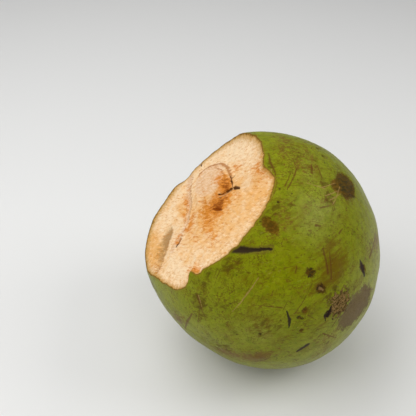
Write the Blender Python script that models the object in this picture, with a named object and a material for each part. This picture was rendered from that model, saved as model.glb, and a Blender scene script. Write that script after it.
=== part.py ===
"""A green coconut with its stem end sliced off by a machete, lying on a small flat spot.

It grew as one piece, so it is one closed solid: an ovoid skin with three soft lobes, and
the cut across its stem end. Metres, +Z up. The origin is the middle of the flat spot.
"""
import math

import bmesh
import bpy
from mathutils import Matrix, Vector

# The whole fruit, before the cut
EQUATOR_RADIUS = 0.085
HALF_LENGTH = 0.0899
SECTION_POWER = 2.055              # 2 makes the long section an ellipse, more makes it squarer
END_TAPER = -0.0115                # share of the radius lost at the stem end and gained at the tail
LOBE_COUNT = 3
LOBE_HEIGHT = 0.029                # share of the radius
LOBE_TURN = math.radians(14.4)

# How it lies
AXIS_RISE = math.radians(50.95)    # the stem end points this far above level
AXIS_HEADING = math.radians(20.35)  # and this far from -X towards -Y
CENTRE_OVER_SPOT = Vector((-0.0042, -0.0025, 0.0878))

# The mean plane of the cut
CUT_DISTANCE = 0.0588              # from the middle of the fruit
CUT_LEAN_ACROSS = math.radians(-3.6)
CUT_LEAN_ASIDE = math.radians(10.9)

# The blade left the husk on a rising sweep, so the rim stands proud on the upper side
LIP_HEIGHT = 0.0076
LIP_START = (math.radians(-37), math.radians(-19))
LIP_END = (math.radians(28), math.radians(62))
LIP_INNER = 0.25                   # the sweep starts this share of the way out to the rim

# Waves of the rim where one stroke of the blade met the next: azimuth, half width, height
RIM_WAVES = (
    (82.0, 18.0, -0.0026),
    (97.0, 6.0, -0.0034),
    (105.0, 4.0, 0.0009),
    (131.0, 9.0, 0.0014),
    (150.0, 9.0, -0.0010),
    (168.0, 9.0, -0.0034),
    (190.0, 7.0, 0.0014),
    (216.0, 10.0, -0.0037),
    (230.5, 3.2, 0.0036),
    (243.0, 12.0, 0.0012),
    (302.0, 18.0, -0.0010),
)
RIM_WAVE_POWER = 6                 # how fast a wave dies away towards the middle of the cut

# The stem scar, a low round boss in the cut, and a shallow scoop below it
SCAR_CENTRE = (-0.020, 0.009)
SCAR_RADII = (0.025, 0.018)
SCAR_HEIGHT = 0.0016
SCAR_EDGE = (0.7, 1.15)              # the boss fades out between these shares of its radii
SCOOP_CENTRE = (0.002, -0.047)
SCOOP_HALF_LENGTH = 0.020
SCOOP_HALF_WIDTH = 0.007
SCOOP_TURN = math.radians(-32)
SCOOP_DEPTH = 0.0018

# How finely the surface is divided
SEGMENTS = 72
RINGS = 40
CUT_RINGS = 12
RIM_SEARCH = (0.35, 1.5)           # the rim lies between these polar angles
RIM_SEARCH_STEPS = 40
SPOT_MERGE = 1e-7                  # vertices this near the ground count as on it
SHARP_ANGLE = math.radians(40)     # edges turning more than this are shaded sharp

SKIN_COLOUR = (0.22, 0.27, 0.03, 1.0)
SKIN_ROUGHNESS = 0.45


def clear_scene():
    """Remove whatever objects the scene already holds."""
    for item in list(bpy.data.objects):
        bpy.data.objects.remove(item, do_unlink=True)


def smooth_step(start, end, value):
    """Rise smoothly from 0 at start to 1 at end."""
    share = min(max((value - start) / (end - start), 0.0), 1.0)
    return share * share * (3.0 - 2.0 * share)


def turn_between(azimuth, centre):
    """The shortest turn from one azimuth to another, between minus and plus half a turn."""
    return (azimuth - centre + math.pi) % math.tau - math.pi


def fruit_axes():
    """Rows are the fruit's own axes: across, aside and along its length to the stem end."""
    along = Vector((
        -math.cos(AXIS_RISE) * math.cos(AXIS_HEADING),
        -math.cos(AXIS_RISE) * math.sin(AXIS_HEADING),
        math.sin(AXIS_RISE),
    ))
    across = Vector((
        math.sin(AXIS_RISE) * math.cos(AXIS_HEADING),
        math.sin(AXIS_RISE) * math.sin(AXIS_HEADING),
        math.cos(AXIS_RISE),
    ))
    aside = along.cross(across)
    return Matrix((across, aside, along)).transposed()


def cut_axes():
    """The cut's own axes in the fruit's frame: sideways, up the face and out of it."""
    out = Vector((math.sin(CUT_LEAN_ACROSS), math.sin(CUT_LEAN_ASIDE), 1.0)).normalized()
    up = Vector((1.0, 0.0, 0.0))
    up = (up - out * up.dot(out)).normalized()
    return up.cross(out), up, out


CUT_SIDE, CUT_UP, CUT_OUT = cut_axes()
CUT_MIDDLE = CUT_OUT * CUT_DISTANCE


def skin_point(polar, azimuth):
    """A point of the whole fruit, by its angle from the stem end and around the axis."""
    cosine = math.cos(polar)
    sine = math.sin(polar)
    reach = (abs(cosine) ** SECTION_POWER + abs(sine) ** SECTION_POWER) ** (-1.0 / SECTION_POWER)
    lobes = 1.0 + LOBE_HEIGHT * sine * sine * math.cos(LOBE_COUNT * (azimuth - LOBE_TURN))
    radius = EQUATOR_RADIUS * reach * sine * (1.0 + END_TAPER * cosine) * lobes
    height = HALF_LENGTH * reach * cosine
    return Vector((radius * math.cos(azimuth), radius * math.sin(azimuth), height))


def lip_lift(azimuth):
    """Height of the proud lip above the mean cut at an azimuth."""
    turn = turn_between(azimuth, 0.0)
    return LIP_HEIGHT * smooth_step(*LIP_START, turn) * (1.0 - smooth_step(*LIP_END, turn))


def lip_sweep(share):
    """The lip's rise along a line from the middle of the cut to its rim, a parabola."""
    return (max(share - LIP_INNER, 0.0) / (1.0 - LIP_INNER)) ** 2


def wave_lift(azimuth):
    """Height of the rim's smaller waves: a sum of bell curves around the rim."""
    lift = 0.0
    for centre, half_width, height in RIM_WAVES:
        turn = turn_between(azimuth, math.radians(centre))
        lift += height * math.exp(-((turn / math.radians(half_width)) ** 2))
    return lift


def rim_polar(azimuth):
    """Halve a range of polar angles until the skin there is as high as the rim should be."""
    target = CUT_DISTANCE + lip_lift(azimuth) + wave_lift(azimuth)
    low, high = RIM_SEARCH
    for _ in range(RIM_SEARCH_STEPS):
        middle = (low + high) / 2.0
        if skin_point(middle, azimuth).dot(CUT_OUT) > target:
            low = middle
        else:
            high = middle
    return (low + high) / 2.0


def cut_relief(side, up):
    """The boss of the stem scar and the scoop below it, as heights above the mean cut."""
    scar_side = (side - SCAR_CENTRE[0]) / SCAR_RADII[0]
    scar_up = (up - SCAR_CENTRE[1]) / SCAR_RADII[1]
    scar_reach = math.hypot(scar_side, scar_up)
    scar = SCAR_HEIGHT * (1.0 - smooth_step(*SCAR_EDGE, scar_reach))
    east = side - SCOOP_CENTRE[0]
    north = up - SCOOP_CENTRE[1]
    length = east * math.cos(SCOOP_TURN) + north * math.sin(SCOOP_TURN)
    width = north * math.cos(SCOOP_TURN) - east * math.sin(SCOOP_TURN)
    scoop = math.exp(-((length / SCOOP_HALF_LENGTH) ** 2) - ((width / SCOOP_HALF_WIDTH) ** 2))
    return scar - SCOOP_DEPTH * scoop


def cut_point(share, azimuth, rim):
    """A point of the cut, a share of the way from its middle to a point of its rim."""
    side = share * (rim - CUT_MIDDLE).dot(CUT_SIDE)
    up = share * (rim - CUT_MIDDLE).dot(CUT_UP)
    lift = lip_lift(azimuth) * lip_sweep(share)
    lift += wave_lift(azimuth) * share ** RIM_WAVE_POWER
    lift += cut_relief(side, up) * (1.0 - share ** RIM_WAVE_POWER)
    return CUT_MIDDLE + CUT_SIDE * side + CUT_UP * up + CUT_OUT * lift


def shape_fruit(shape):
    """Move a unit sphere's vertices: its first rings become the cut, the rest the skin."""
    cut_span = math.pi * CUT_RINGS / RINGS
    axes = fruit_axes()
    for vertex in shape.verts:
        polar = math.acos(min(max(vertex.co.z, -1.0), 1.0))
        azimuth = math.atan2(vertex.co.y, vertex.co.x)
        edge = rim_polar(azimuth)
        if polar <= cut_span:
            point = cut_point(polar / cut_span, azimuth, skin_point(edge, azimuth))
        else:
            share = (polar - cut_span) / (math.pi - cut_span)
            point = skin_point(edge + share * (math.pi - edge), azimuth)
        vertex.co = axes @ point + CENTRE_OVER_SPOT


def flatten_spot(shape):
    """Slice off the little that reaches below Z = 0 and close the flat spot."""
    whole = shape.verts[:] + shape.edges[:] + shape.faces[:]
    cut = bmesh.ops.bisect_plane(
        shape,
        geom=whole,
        dist=SPOT_MERGE,
        plane_co=(0.0, 0.0, 0.0),
        plane_no=(0.0, 0.0, -1.0),
        clear_outer=True,
    )
    edges = [item for item in cut["geom_cut"] if isinstance(item, bmesh.types.BMEdge)]
    bmesh.ops.contextual_create(shape, geom=edges)


def husk_material():
    """Waxy green skin."""
    material = bpy.data.materials.new("green_husk")
    material.use_nodes = True
    shader = material.node_tree.nodes["Principled BSDF"]
    shader.inputs["Base Color"].default_value = SKIN_COLOUR
    shader.inputs["Roughness"].default_value = SKIN_ROUGHNESS
    shader.inputs["Metallic"].default_value = 0.0
    material.diffuse_color = SKIN_COLOUR
    return material


def make_coconut():
    """The coconut as one closed object."""
    shape = bmesh.new()
    bmesh.ops.create_uvsphere(shape, u_segments=SEGMENTS, v_segments=RINGS, radius=1.0)
    shape_fruit(shape)
    flatten_spot(shape)
    bmesh.ops.recalc_face_normals(shape, faces=shape.faces)
    mesh = bpy.data.meshes.new("coconut")
    shape.to_mesh(mesh)
    shape.free()
    mesh.shade_smooth()
    mesh.set_sharp_from_angle(angle=SHARP_ANGLE)
    mesh.materials.append(husk_material())
    coconut = bpy.data.objects.new("coconut", mesh)
    bpy.context.scene.collection.objects.link(coconut)


clear_scene()
make_coconut()
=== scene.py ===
# %% [markdown]
# # A green coconut with its stem end sliced off
#
# This lesson builds one grown thing: a young coconut that lies tilted on a small flat spot,
# with one slanting cut that bares the pale husk. There are no parts to fit together, so all
# the work is in one closed surface and in one finish that knows skin from husk.
#
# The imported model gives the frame. Its single solid has the right size and stays for
# collision, and the fine surface made here is shown in its place.

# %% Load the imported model
import math

import bpy
import numpy as np
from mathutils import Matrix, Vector


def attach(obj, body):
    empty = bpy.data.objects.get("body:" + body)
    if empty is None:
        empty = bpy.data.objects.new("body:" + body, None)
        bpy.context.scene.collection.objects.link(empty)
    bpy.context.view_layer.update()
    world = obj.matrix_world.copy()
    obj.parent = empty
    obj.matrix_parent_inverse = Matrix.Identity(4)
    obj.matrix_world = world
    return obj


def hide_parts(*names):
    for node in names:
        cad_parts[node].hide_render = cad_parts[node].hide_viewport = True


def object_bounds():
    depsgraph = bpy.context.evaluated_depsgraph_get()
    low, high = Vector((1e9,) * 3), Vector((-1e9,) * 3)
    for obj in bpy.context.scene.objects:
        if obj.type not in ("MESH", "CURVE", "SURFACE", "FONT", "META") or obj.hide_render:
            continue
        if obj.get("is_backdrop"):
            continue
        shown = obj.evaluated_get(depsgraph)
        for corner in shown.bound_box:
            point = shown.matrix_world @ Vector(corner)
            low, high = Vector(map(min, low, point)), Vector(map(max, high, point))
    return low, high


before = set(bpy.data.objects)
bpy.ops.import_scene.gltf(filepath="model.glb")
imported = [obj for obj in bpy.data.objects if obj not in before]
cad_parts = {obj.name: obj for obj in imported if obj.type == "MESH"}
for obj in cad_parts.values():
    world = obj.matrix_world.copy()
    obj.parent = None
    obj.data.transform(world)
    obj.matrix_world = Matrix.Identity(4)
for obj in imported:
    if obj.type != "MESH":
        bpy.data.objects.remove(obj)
cad_box = [list(corner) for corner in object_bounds()]
print("packed model, low and high corner:", [[round(n, 4) for n in corner] for corner in cad_box])

# %% [markdown]
# ## The size of the fruit and the way it lies
#
# A coconut's husk is an ovoid with three soft lobes, because the fruit grows from three
# joined leaves. Measures below are in metres. Angles around the fruit are azimuths, and
# the angle from the stem end towards the tail is called polar.

# %% The fruit's driving sizes
MM = 0.001
EQUATOR_RADIUS = 0.085
HALF_LENGTH = 0.0899
SECTION_POWER = 2.055
END_TAPER = -0.0115
LOBE_COUNT = 3
LOBE_HEIGHT = 0.029
LOBE_TURN = math.radians(14.4)

AXIS_RISE = math.radians(50.95)
AXIS_HEADING = math.radians(20.35)
CENTRE_OVER_SPOT = np.array([-0.0042, -0.0025, 0.0878])


def fruit_axes():
    """Rows are the fruit's axes in the frame: across, aside, and along it to the stem end."""
    level, rise = math.cos(AXIS_RISE), math.sin(AXIS_RISE)
    along = np.array([-level * math.cos(AXIS_HEADING), -level * math.sin(AXIS_HEADING), rise])
    across = np.array([rise * math.cos(AXIS_HEADING), rise * math.sin(AXIS_HEADING), level])
    return np.stack([across, np.cross(along, across), along])


FRUIT_AXES = fruit_axes()


def into_frame(places):
    """Turn points from the fruit's own axes into the frame and set them over the flat spot."""
    return places @ FRUIT_AXES + CENTRE_OVER_SPOT


def skin_point(polar, azimuth):
    """A superellipse turned about the axis: the radius and the height at a polar angle are
    shared out so that their powers add to one. The radius is then tapered a little along
    the length, and three cosine lobes swell it around the middle."""
    cosine, sine = np.cos(polar), np.sin(polar)
    reach = (np.abs(cosine) ** SECTION_POWER + np.abs(sine) ** SECTION_POWER) ** (-1 / SECTION_POWER)
    lobes = 1 + LOBE_HEIGHT * sine**2 * np.cos(LOBE_COUNT * (azimuth - LOBE_TURN))
    radius = EQUATOR_RADIUS * reach * sine * (1 + END_TAPER * cosine) * lobes
    return np.stack([radius * np.cos(azimuth), radius * np.sin(azimuth), HALF_LENGTH * reach * cosine], -1)


print("stem end points towards", FRUIT_AXES[2].round(3))

# %% [markdown]
# ## Small tools for shaping
#
# Three helpers are used all through the lesson. A smooth step eases a feature in, a turn
# between azimuths never jumps where a full circle closes, and a field of crossed waves
# gives natural unevenness. The waves are drawn from a seeded generator, so every run
# makes the same fruit.

# %% Shaping helpers
def smooth_step(start, end, value):
    """Zero up to start, one from end on, and an S-shaped cubic between them."""
    share = np.clip((value - start) / (end - start), 0, 1)
    return share * share * (3 - 2 * share)


def turn_between(azimuth, centre):
    """The shortest way round from one azimuth to another, from minus to plus half a turn."""
    return (azimuth - centre + math.pi) % math.tau - math.pi


def uneven(places, length, seed, stretch=(1, 1, 1), count=30):
    """The sum of cosine waves of about one length that run in seeded random directions,
    scaled to a standard deviation of one. Stretch draws the unevenness out along an axis."""
    draw = np.random.default_rng(seed)
    heading = draw.normal(size=(count, 3))
    heading /= np.linalg.norm(heading, axis=1, keepdims=True)
    heading *= draw.uniform(0.7, 1.4, (count, 1)) * math.tau / length / np.array(stretch)
    phase = draw.uniform(0, math.tau, count)
    return np.cos(places @ heading.T + phase).sum(-1) * math.sqrt(2 / count)


# %% [markdown]
# ## The rim of the cut
#
# A machete takes the stem end off in a few strokes. The cut is nearly flat, but the blade
# leaves the husk on a rising sweep on the upper side, and the rim steps where one stroke
# meets the next. So the rim is given as a height above the mean plane of the cut at every
# azimuth, and the place on the skin with that height is found by halving a range.

# %% Rim heights
CUT_DISTANCE = 0.0588
CUT_LEAN_ACROSS = math.radians(-3.6)
CUT_LEAN_ASIDE = math.radians(10.9)
LIP_HEIGHT = 7.6 * MM
LIP_START = np.radians([-37, -19])
LIP_END = np.radians([28, 62])
LIP_INNER = 0.25
RIM_WAVE_POWER = 6
RIM_SEARCH = (0.35, 1.5)  # the rim lies between these polar angles
RIM_SEARCH_STEPS = 40

# Azimuth and half width in degrees, then height in millimetres
RIM_WAVES = (
    (82, 18, -2.6),
    (97, 6, -3.4),
    (105, 4, 0.9),
    (131, 9, 1.4),
    (150, 9, -1),
    (168, 9, -3.4),
    (190, 7, 1.4),
    (216, 10, -3.7),
    (230.5, 3.2, 3.6),
    (243, 12, 1.2),
    (302, 18, -1),
)

cut_out = np.array([math.sin(CUT_LEAN_ACROSS), math.sin(CUT_LEAN_ASIDE), 1])
cut_out /= np.linalg.norm(cut_out)
cut_up = np.array([1, 0, 0]) - cut_out * cut_out[0]
cut_up /= np.linalg.norm(cut_up)
cut_side = np.cross(cut_up, cut_out)
cut_middle = cut_out * CUT_DISTANCE


def lip_lift(azimuth):
    """A plateau with smooth ends: the part of the rim where the blade swept upwards."""
    turn = turn_between(azimuth, 0)
    return LIP_HEIGHT * smooth_step(*LIP_START, turn) * (1 - smooth_step(*LIP_END, turn))


def wave_lift(azimuth):
    """The sum of a bell curve for each place where two strokes of the blade met."""
    centres, widths, heights = np.array(RIM_WAVES).T
    turn = turn_between(azimuth[..., None], np.radians(centres))
    return (heights * MM * np.exp(-((turn / np.radians(widths)) ** 2))).sum(-1)


# Height in millimetres, length as a share of the rim's radius, and seed
JAGS = ((0.11, 0.05, 11), (0.2, 0.14, 12))


def jag_lift(azimuth):
    """Short teeth along the rim, where single fibres tore: crossed waves around a circle."""
    circle = np.stack([np.cos(azimuth), np.sin(azimuth), 0 * azimuth], -1)
    return sum(height * MM * uneven(circle, length, seed) for height, length, seed in JAGS)


def rim_polar(azimuth):
    """Halve a range of polar angles until the skin there stands at the rim's height."""
    target = CUT_DISTANCE + lip_lift(azimuth) + wave_lift(azimuth) + jag_lift(azimuth)
    low, high = (np.full_like(azimuth, end) for end in RIM_SEARCH)
    for _ in range(RIM_SEARCH_STEPS):
        middle = (low + high) / 2
        above = skin_point(middle, azimuth) @ cut_out > target
        low, high = np.where(above, middle, low), np.where(above, high, middle)
    return (low + high) / 2


# %% [markdown]
# ## The grid
#
# One grid covers the whole fruit. Its first rows are rings that grow from the middle of
# the cut to the rim, and the others go on from the rim to the tail, so the sharp edge of
# the cut always lies along grid lines. Columns crowd together a little on the side that
# carries most of the marks. All rows are whole arrays, with no loop over points.

# %% Lay out the grid
AROUND = 448
CUT_ROWS = 60
SKIN_ROWS = 156
CROWDING = 0.3
CROWDED_SIDE = math.radians(275)
TAIL_STRETCH = 0.25

turn = np.linspace(0, math.tau, AROUND, endpoint=False)
azimuth = turn - CROWDING * np.sin(turn - CROWDED_SIDE)
edge = rim_polar(azimuth)
rim = skin_point(edge, azimuth)
rim_side = (rim - cut_middle) @ cut_side
rim_up = (rim - cut_middle) @ cut_up
rim_reach = np.hypot(rim_side, rim_up)

cut_share = np.linspace(0, 1, CUT_ROWS + 1)[1:, None]
step = np.linspace(0, 1, SKIN_ROWS + 1)[1:-1, None]
skin_share = step * (1 - TAIL_STRETCH) + TAIL_STRETCH * step**2
polar = edge + skin_share * (math.pi - edge)
skin_azimuth = np.broadcast_to(azimuth, polar.shape)
print("rim to rim across the cut:", round(float(rim_side.max() - rim_side.min()) * 1000), "mm")
print("triangles:", 2 * AROUND * (CUT_ROWS + SKIN_ROWS - 2) + 2 * AROUND)

# %% [markdown]
# ## Relief of the cut
#
# The bared husk isn't flat. The stem left a low round boss with a curved edge, and the
# fibres behind it tore open. Below it the blade slipped to a lower level along a bent
# line, and it dug a shallow scoop near the rim. Each is a height over two coordinates of
# the cut, sideways and up, in millimetres from its middle. Husk fibres then roughen it.

# %% Heights over the cut
def to_segment(side, up, start, end):
    """The nearest distance to a straight segment, the signed distance across its line, and
    the share of the way along it, all worked out from dot and cross products."""
    run = np.subtract(end, start)
    length = math.hypot(*run)
    east, north = side - start[0], up - start[1]
    share = np.clip((east * run[0] + north * run[1]) / length**2, 0, 1)
    near = np.hypot(east - share * run[0], north - share * run[1])
    return near, (run[0] * north - run[1] * east) / length, share


def to_path(side, up, points):
    """The same for a path of several segments: the nearest segment gives each answer."""
    found = [to_segment(side, up, a, b) for a, b in zip(points, points[1:])]
    near = np.stack([item[0] for item in found])
    pick = near.argmin(0)[None]
    across = np.take_along_axis(np.stack([item[1] for item in found]), pick, 0)[0]
    along = np.take_along_axis(np.stack([(item[2] + k) for k, item in enumerate(found)]), pick, 0)[0]
    return near.min(0), across, along / len(found)


SCAR = ((-20, 9), (24, 17))  # middle, then half width and half height
BOSS_HEIGHT = 1.6
BOSS_EDGE = (0.75, 1.12)  # the boss fades out between these shares of its size
LEDGE = ((-52, 0), (-38, -6), (-20, -10), (-3, -19), (9, -34))
LEDGE_DROP = 2.6
LEDGE_SLOPE = (-5.0, 0.6)  # the drop runs between these distances across the line
LEDGE_REACH = 24
SCOOP = ((-16, -36), (-4, -43), (16, -57))
SCOOP_DEPTH = 1.9
SCOOP_HALF_WIDTH = 6.5
TORN_EDGE = ((-42, 6), (-40, 15), (-31, 24), (-18, 28), (-5, 26.5), (3, 24))
TORN_HEIGHT = 0.8
TORN_HALF_WIDTH = 1.7
SCAR_LINE = ((-30, 20), (-20, 23), (-8, 22), (0, 18))
BAND_LINE = ((-44, -4), (-32, -13), (-18, -19), (-8, -24))
SLITS = (
    ((17, 26), (12, 23), (8, 17), (5, 11)),
    ((7.5, 21), (4.5, 16), (1.5, 10)),
    ((-2, 25), (4, 23.5), (9, 21)),
    ((20, 7.5), (12, 3.5)),
    ((6, -28), (9.5, -35)),
)
SLIT_DEPTH = 1.5
SLIT_HALF_WIDTH = 0.9


def bell(distance, width):
    """One at no distance, and falling off as a bell curve of this width."""
    return np.exp(-((distance / width) ** 2))


def cut_height(side, up):
    """Boss, ledge, scoop and slits, in millimetres above the mean cut."""
    (east, north), (long, wide) = SCAR
    boss = 1 - smooth_step(*BOSS_EDGE, np.hypot((side - east) / long, (up - north) / wide))
    near, across, along = to_path(side, up, LEDGE)
    fade = smooth_step(0, 0.2, along) * (1 - smooth_step(0.75, 1, along))
    ledge = fade * (smooth_step(*LEDGE_SLOPE, across) - 1) * bell(near, LEDGE_REACH)
    scoop = bell(to_path(side, up, SCOOP)[0], SCOOP_HALF_WIDTH)
    torn = bell(to_path(side, up, TORN_EDGE)[0], TORN_HALF_WIDTH)
    height = BOSS_HEIGHT * boss + LEDGE_DROP * ledge - SCOOP_DEPTH * scoop + TORN_HEIGHT * torn
    for slit in SLITS:
        height -= SLIT_DEPTH * bell(to_path(side, up, slit)[0], SLIT_HALF_WIDTH)
    return height


STRAND_HEIGHT = 0.13
LUMP_HEIGHT = 0.16


def fibre_height(side, up):
    """Torn fibres: uneven waves drawn out along the slant of the cut, and finer pits."""
    places = np.stack([side, up, 0 * side], -1)
    strands = uneven(places, 3.4, 21, stretch=(2.6, 1, 1))
    lumps = uneven(places, 9, 22)
    return STRAND_HEIGHT * strands + LUMP_HEIGHT * lumps


# How late on the way out the teeth begin, and how late the relief dies away
JAG_POWER = 30
RELIEF_POWER = 14

side = cut_share * rim_side
up = cut_share * rim_up
lift = lip_lift(azimuth) * (np.clip(cut_share - LIP_INNER, 0, 1) / (1 - LIP_INNER)) ** 2
lift = lift + wave_lift(azimuth) * cut_share**RIM_WAVE_POWER + jag_lift(azimuth) * cut_share**JAG_POWER
relief = (cut_height(side / MM, up / MM) + fibre_height(side / MM, up / MM)) * MM
lift = lift + relief * (1 - cut_share**RELIEF_POWER)
cut_rows = cut_middle + side[..., None] * cut_side + up[..., None] * cut_up + lift[..., None] * cut_out
middle = np.zeros(1)
cut_centre = cut_middle + (cut_height(middle, middle) + fibre_height(middle, middle)) * MM * cut_out
print("cut relief from", round(float(relief.min() / MM), 1), "to", round(float(relief.max() / MM), 1), "mm")

# %% [markdown]
# ## Marks on the skin
#
# A coconut falls, rolls and is stacked, so its skin carries bruises, corky scabs and worn
# patches. Each is an oval with its middle at a polar angle and an azimuth, kept as a depth
# inside the oval's edge. That number serves twice: it dents or raises the surface here, and
# the finish reads it from the mesh and roughens its outline. Discolouring and bloom have no
# edge, so they are sums of soft ovals. One of the bloom ovals is a painted highlight.

# %% Ovals on the skin
def oval_reach(polar, azimuth, mark):
    """The distance from an oval's middle, scaled so that it is one along the oval's edge."""
    centre_polar, centre_azimuth, half_east, half_south, lean = mark[:5]
    ring = EQUATOR_RADIUS * math.sin(math.radians(centre_polar)) / MM
    east = turn_between(azimuth, math.radians(centre_azimuth)) * ring
    south = (polar - math.radians(centre_polar)) * EQUATOR_RADIUS / MM
    cosine, sine = math.cos(math.radians(lean)), math.sin(math.radians(lean))
    return np.hypot((east * cosine + south * sine) / half_east, (south * cosine - east * sine) / half_south)


def deepest(polar, azimuth, marks):
    """The largest depth inside any of several ovals, and the tone of the oval it is in. The
    depth falls from its middle to zero at its edge and grows with the root of its size, so
    that the same raggedness suits small and large marks."""
    depth = np.stack([(1 - oval_reach(polar, azimuth, mark)) * min(mark[2:4]) ** 0.5 for mark in marks])
    tones = np.array([mark[5] for mark in marks])
    return depth.max(0), tones[depth.argmax(0)]


# Polar angle and azimuth, half widths around and down, lean, then tone from brown to black
BRUISES = (
    (76.4, 338.5, 14, 10.2, 28, 0.5),
    (70.5, 334, 6, 6, 30, 0.1),
    (44.9, 293.6, 4.4, 7.2, 14, 0.25),
    (69.7, 286.2, 3.2, 3.7, 0, 0.75),
    (96, 305, 3.2, 5.6, 8, 0.5),
    (79.8, 268.3, 1.6, 2.6, -20, 0.85),
    (79, 272.2, 2.7, 2.3, 0, 0.4),
    (85.6, 264.6, 1.8, 1.8, 0, 0.45),
    (75.5, 250, 1.2, 1.4, 0, 0.95),
    (66.6, 360.5, 1.9, 1.3, 30, 0.8),
    (66.6, 353.8, 1.5, 1.2, 0, 0.7),
    (44, 309.3, 1.3, 1, 0, 0.8),
    (89.4, 277.4, 3.6, 2.4, -10, 0.95),
    (78.4, 283.6, 3.6, 4.4, 0, 0.7),
    (118, 150, 6, 4.5, 30, 0.4),
    (76, 110, 8.5, 6, -20, 0.35),
    (100, 60, 3, 5, 10, 0.5),
    (88, 24, 2.6, 3.4, 0, 0.45),
    (128, 330, 5, 3, 40, 0.5),
)
PATCHES = (
    (105.5, 287, 17, 14, 15, 0),
    (109.5, 294, 13, 12, -30, 0),
    (96, 172, 13, 8, 20, 0),
    (140, 70, 9, 7, 0, 0),
)
SCABS = (
    (92, 284, 10.5, 10.5, 30, 0),
    (78.3, 284, 2.2, 2.4, 0, 0),
    (110, 30, 7, 5, 20, 0),
)
FRESH_SIDE = (62, 287, 52, 40, 0)

# The same, with a strength as the last number; each list is one kind of discolouring
AMBER = (
    (78.3, 296, 17, 7, 23, 1.4),
    (72, 301, 11, 6, 30, 1),
    (77, 283, 9, 6, 20, 0.9),
    (66, 309, 7, 6, 30, 0.5),
    (82.5, 292, 10, 5.5, 20, 1.1),
    (62.5, 283, 3.5, 4, 0, 0.9),
    (54, 303, 12, 5, 10, 0.8),
    (60, 275, 18, 7, 10, 0.4),
    (72, 256, 13, 8, 10, 0.95),
    (84, 222, 17, 9, 10, 0.8),
    (84, 257, 8, 5, 0, 0.75),
    (92, 270, 12, 4, 0, 0.7),
    (97, 298, 12, 5, 20, 0.9),
    (60, 340, 9, 4, 0, 0.9),
    (52, 262, 13, 6, 0, 0.6),
    (90, 120, 20, 9, 20, 1.2),
    (66, 60, 12, 6, -10, 1.2),
    (110, 200, 22, 9, 0, 1),
)
RUSSET = (
    (88.5, 238, 19, 7, 4, 1.6),
    (84, 224, 10, 5, 4, 0.9),
    (67, 204, 12, 6, -20, 1.2),
    (106, 325, 19, 6.5, 40, 1.2),
    (57, 314, 5, 4, 0, 0.8),
    (47, 290, 9, 4, 0, 0.75),
    (47.5, 306, 9, 6, 0, 0.7),
    (79, 333, 9, 8, 0, 0.7),
    (51, 341, 12, 5, 0, 0.9),
    (57, 340, 3, 2.5, 0, 1),
    (71, 280, 6, 3, 0, 0.8),
    (110, 262, 14, 6, 0, 0.9),
    (46, 352, 16, 4, 10, 0.9),
    (58, 350, 15, 5, 0, 0.8),
    (52, 8, 14, 5, 0, 0.8),
    (51, 299, 6, 4, 20, 0.5),
    (98, 262, 12, 4, 10, 0.7),
    (64, 322, 5, 4, 20, 0.9),
    (103, 270, 9, 5, 0, 0.8),
    (76, 160, 14, 8, 0, 1.2),
    (122, 90, 14, 8, 0, 1.2),
    (95, 50, 16, 6, 0, 1),
)
GRIME = (
    (53, 230.5, 6.5, 7.5, 10, 1.9),
    (46, 237, 7, 4, 10, 1.1),
    (60, 225, 8, 6, 10, 0.9),
    (66, 325, 6.5, 6.5, 20, 1.5),
    (63, 333, 6, 4.5, 0, 1.2),
    (43.5, 306, 12, 4.5, 0, 0.9),
    (49.5, 311, 9, 5, 0, 0.7),
    (49.5, 262, 5.5, 4, 0, 0.8),
    (44.5, 259, 6, 3, 0, 0.8),
    (43, 248, 14, 4, 0, 1.1),
    (57, 243, 6, 5, 0, 0.9),
    (55.5, 273, 5, 4, 0, 0.9),
    (74, 256, 9, 7, 0, 1),
    (80, 226, 14, 6, 10, 1),
    (38.5, 338, 16, 3.5, 0, 1.1),
    (85, 281, 6, 5, 0, 0.9),
    (93, 291, 8, 7, 0, 1),
    (84, 286, 7, 5, 0, 0.9),
    (54, 352, 16, 6, 0, 0.8),
    (72, 30, 14, 7, 30, 1.3),
    (100, 140, 10, 7, -20, 1.3),
    (60, 180, 12, 6, 0, 1.2),
)

# Where the bloom, the pale dust on the wax, hasn't been rubbed off. The first oval is a painted highlight
# where the right lamp's sheen falls on the wax.
BLOOM_AND_PAINTED_SHEEN = (
    (61, 312, 20, 13, 25, 0.42),
    (56, 340, 14, 10, 0, 0.25),
    (52, 202, 14, 10, 0, 0.4),
    (69, 220, 16, 9, 0, 0.35),
    (75, 248, 18, 12, 0, 0.35),
    (95, 150, 30, 20, 0, 0.3),
)


def soft_sum(polar, azimuth, marks):
    """A soft bell over each oval, times its strength, summed."""
    return sum(mark[5] * bell(oval_reach(polar, azimuth, mark), 1) for mark in marks)


bruise, bruise_tone = deepest(polar, skin_azimuth, BRUISES)
patch, _ = deepest(polar, skin_azimuth, PATCHES)
scab, _ = deepest(polar, skin_azimuth, SCABS)
fresh = bell(oval_reach(polar, skin_azimuth, FRESH_SIDE), 1)
tints = [soft_sum(polar, skin_azimuth, marks) for marks in (AMBER, RUSSET, GRIME)]
# Bloom, with a painted highlight from the first oval
bloom_and_sheen = soft_sum(polar, skin_azimuth, BLOOM_AND_PAINTED_SHEEN)
print(len(BRUISES), "bruises,", len(SCABS), "scabs,", len(PATCHES), "worn patches")

# %% [markdown]
# ## Relief of the skin
#
# Under its wax the skin swells and sinks by fractions of a millimetre. Bruises sink, scabs
# stand up and are rough, and the gash beside the rim is cut in. The height is laid on
# along the surface's own normal, which comes from the grid's two directions, and it fades
# out at the rim so that the cut keeps its sharp edge.

# %% Raise and dent the skin
def outward(places):
    """Unit normals: the cross product of the grid's two directions, turned to point out."""
    around = np.roll(places, -1, 1) - np.roll(places, 1, 1)
    down = np.gradient(places, axis=0)
    normal = np.cross(down, around)
    normal *= np.sign((normal * places).sum(-1, keepdims=True))
    return normal / np.linalg.norm(normal, axis=-1, keepdims=True)


GASH = ((38.6, 266.5), (42.6, 272.0), (46.6, 277.5), (50.2, 282.8))


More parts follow.
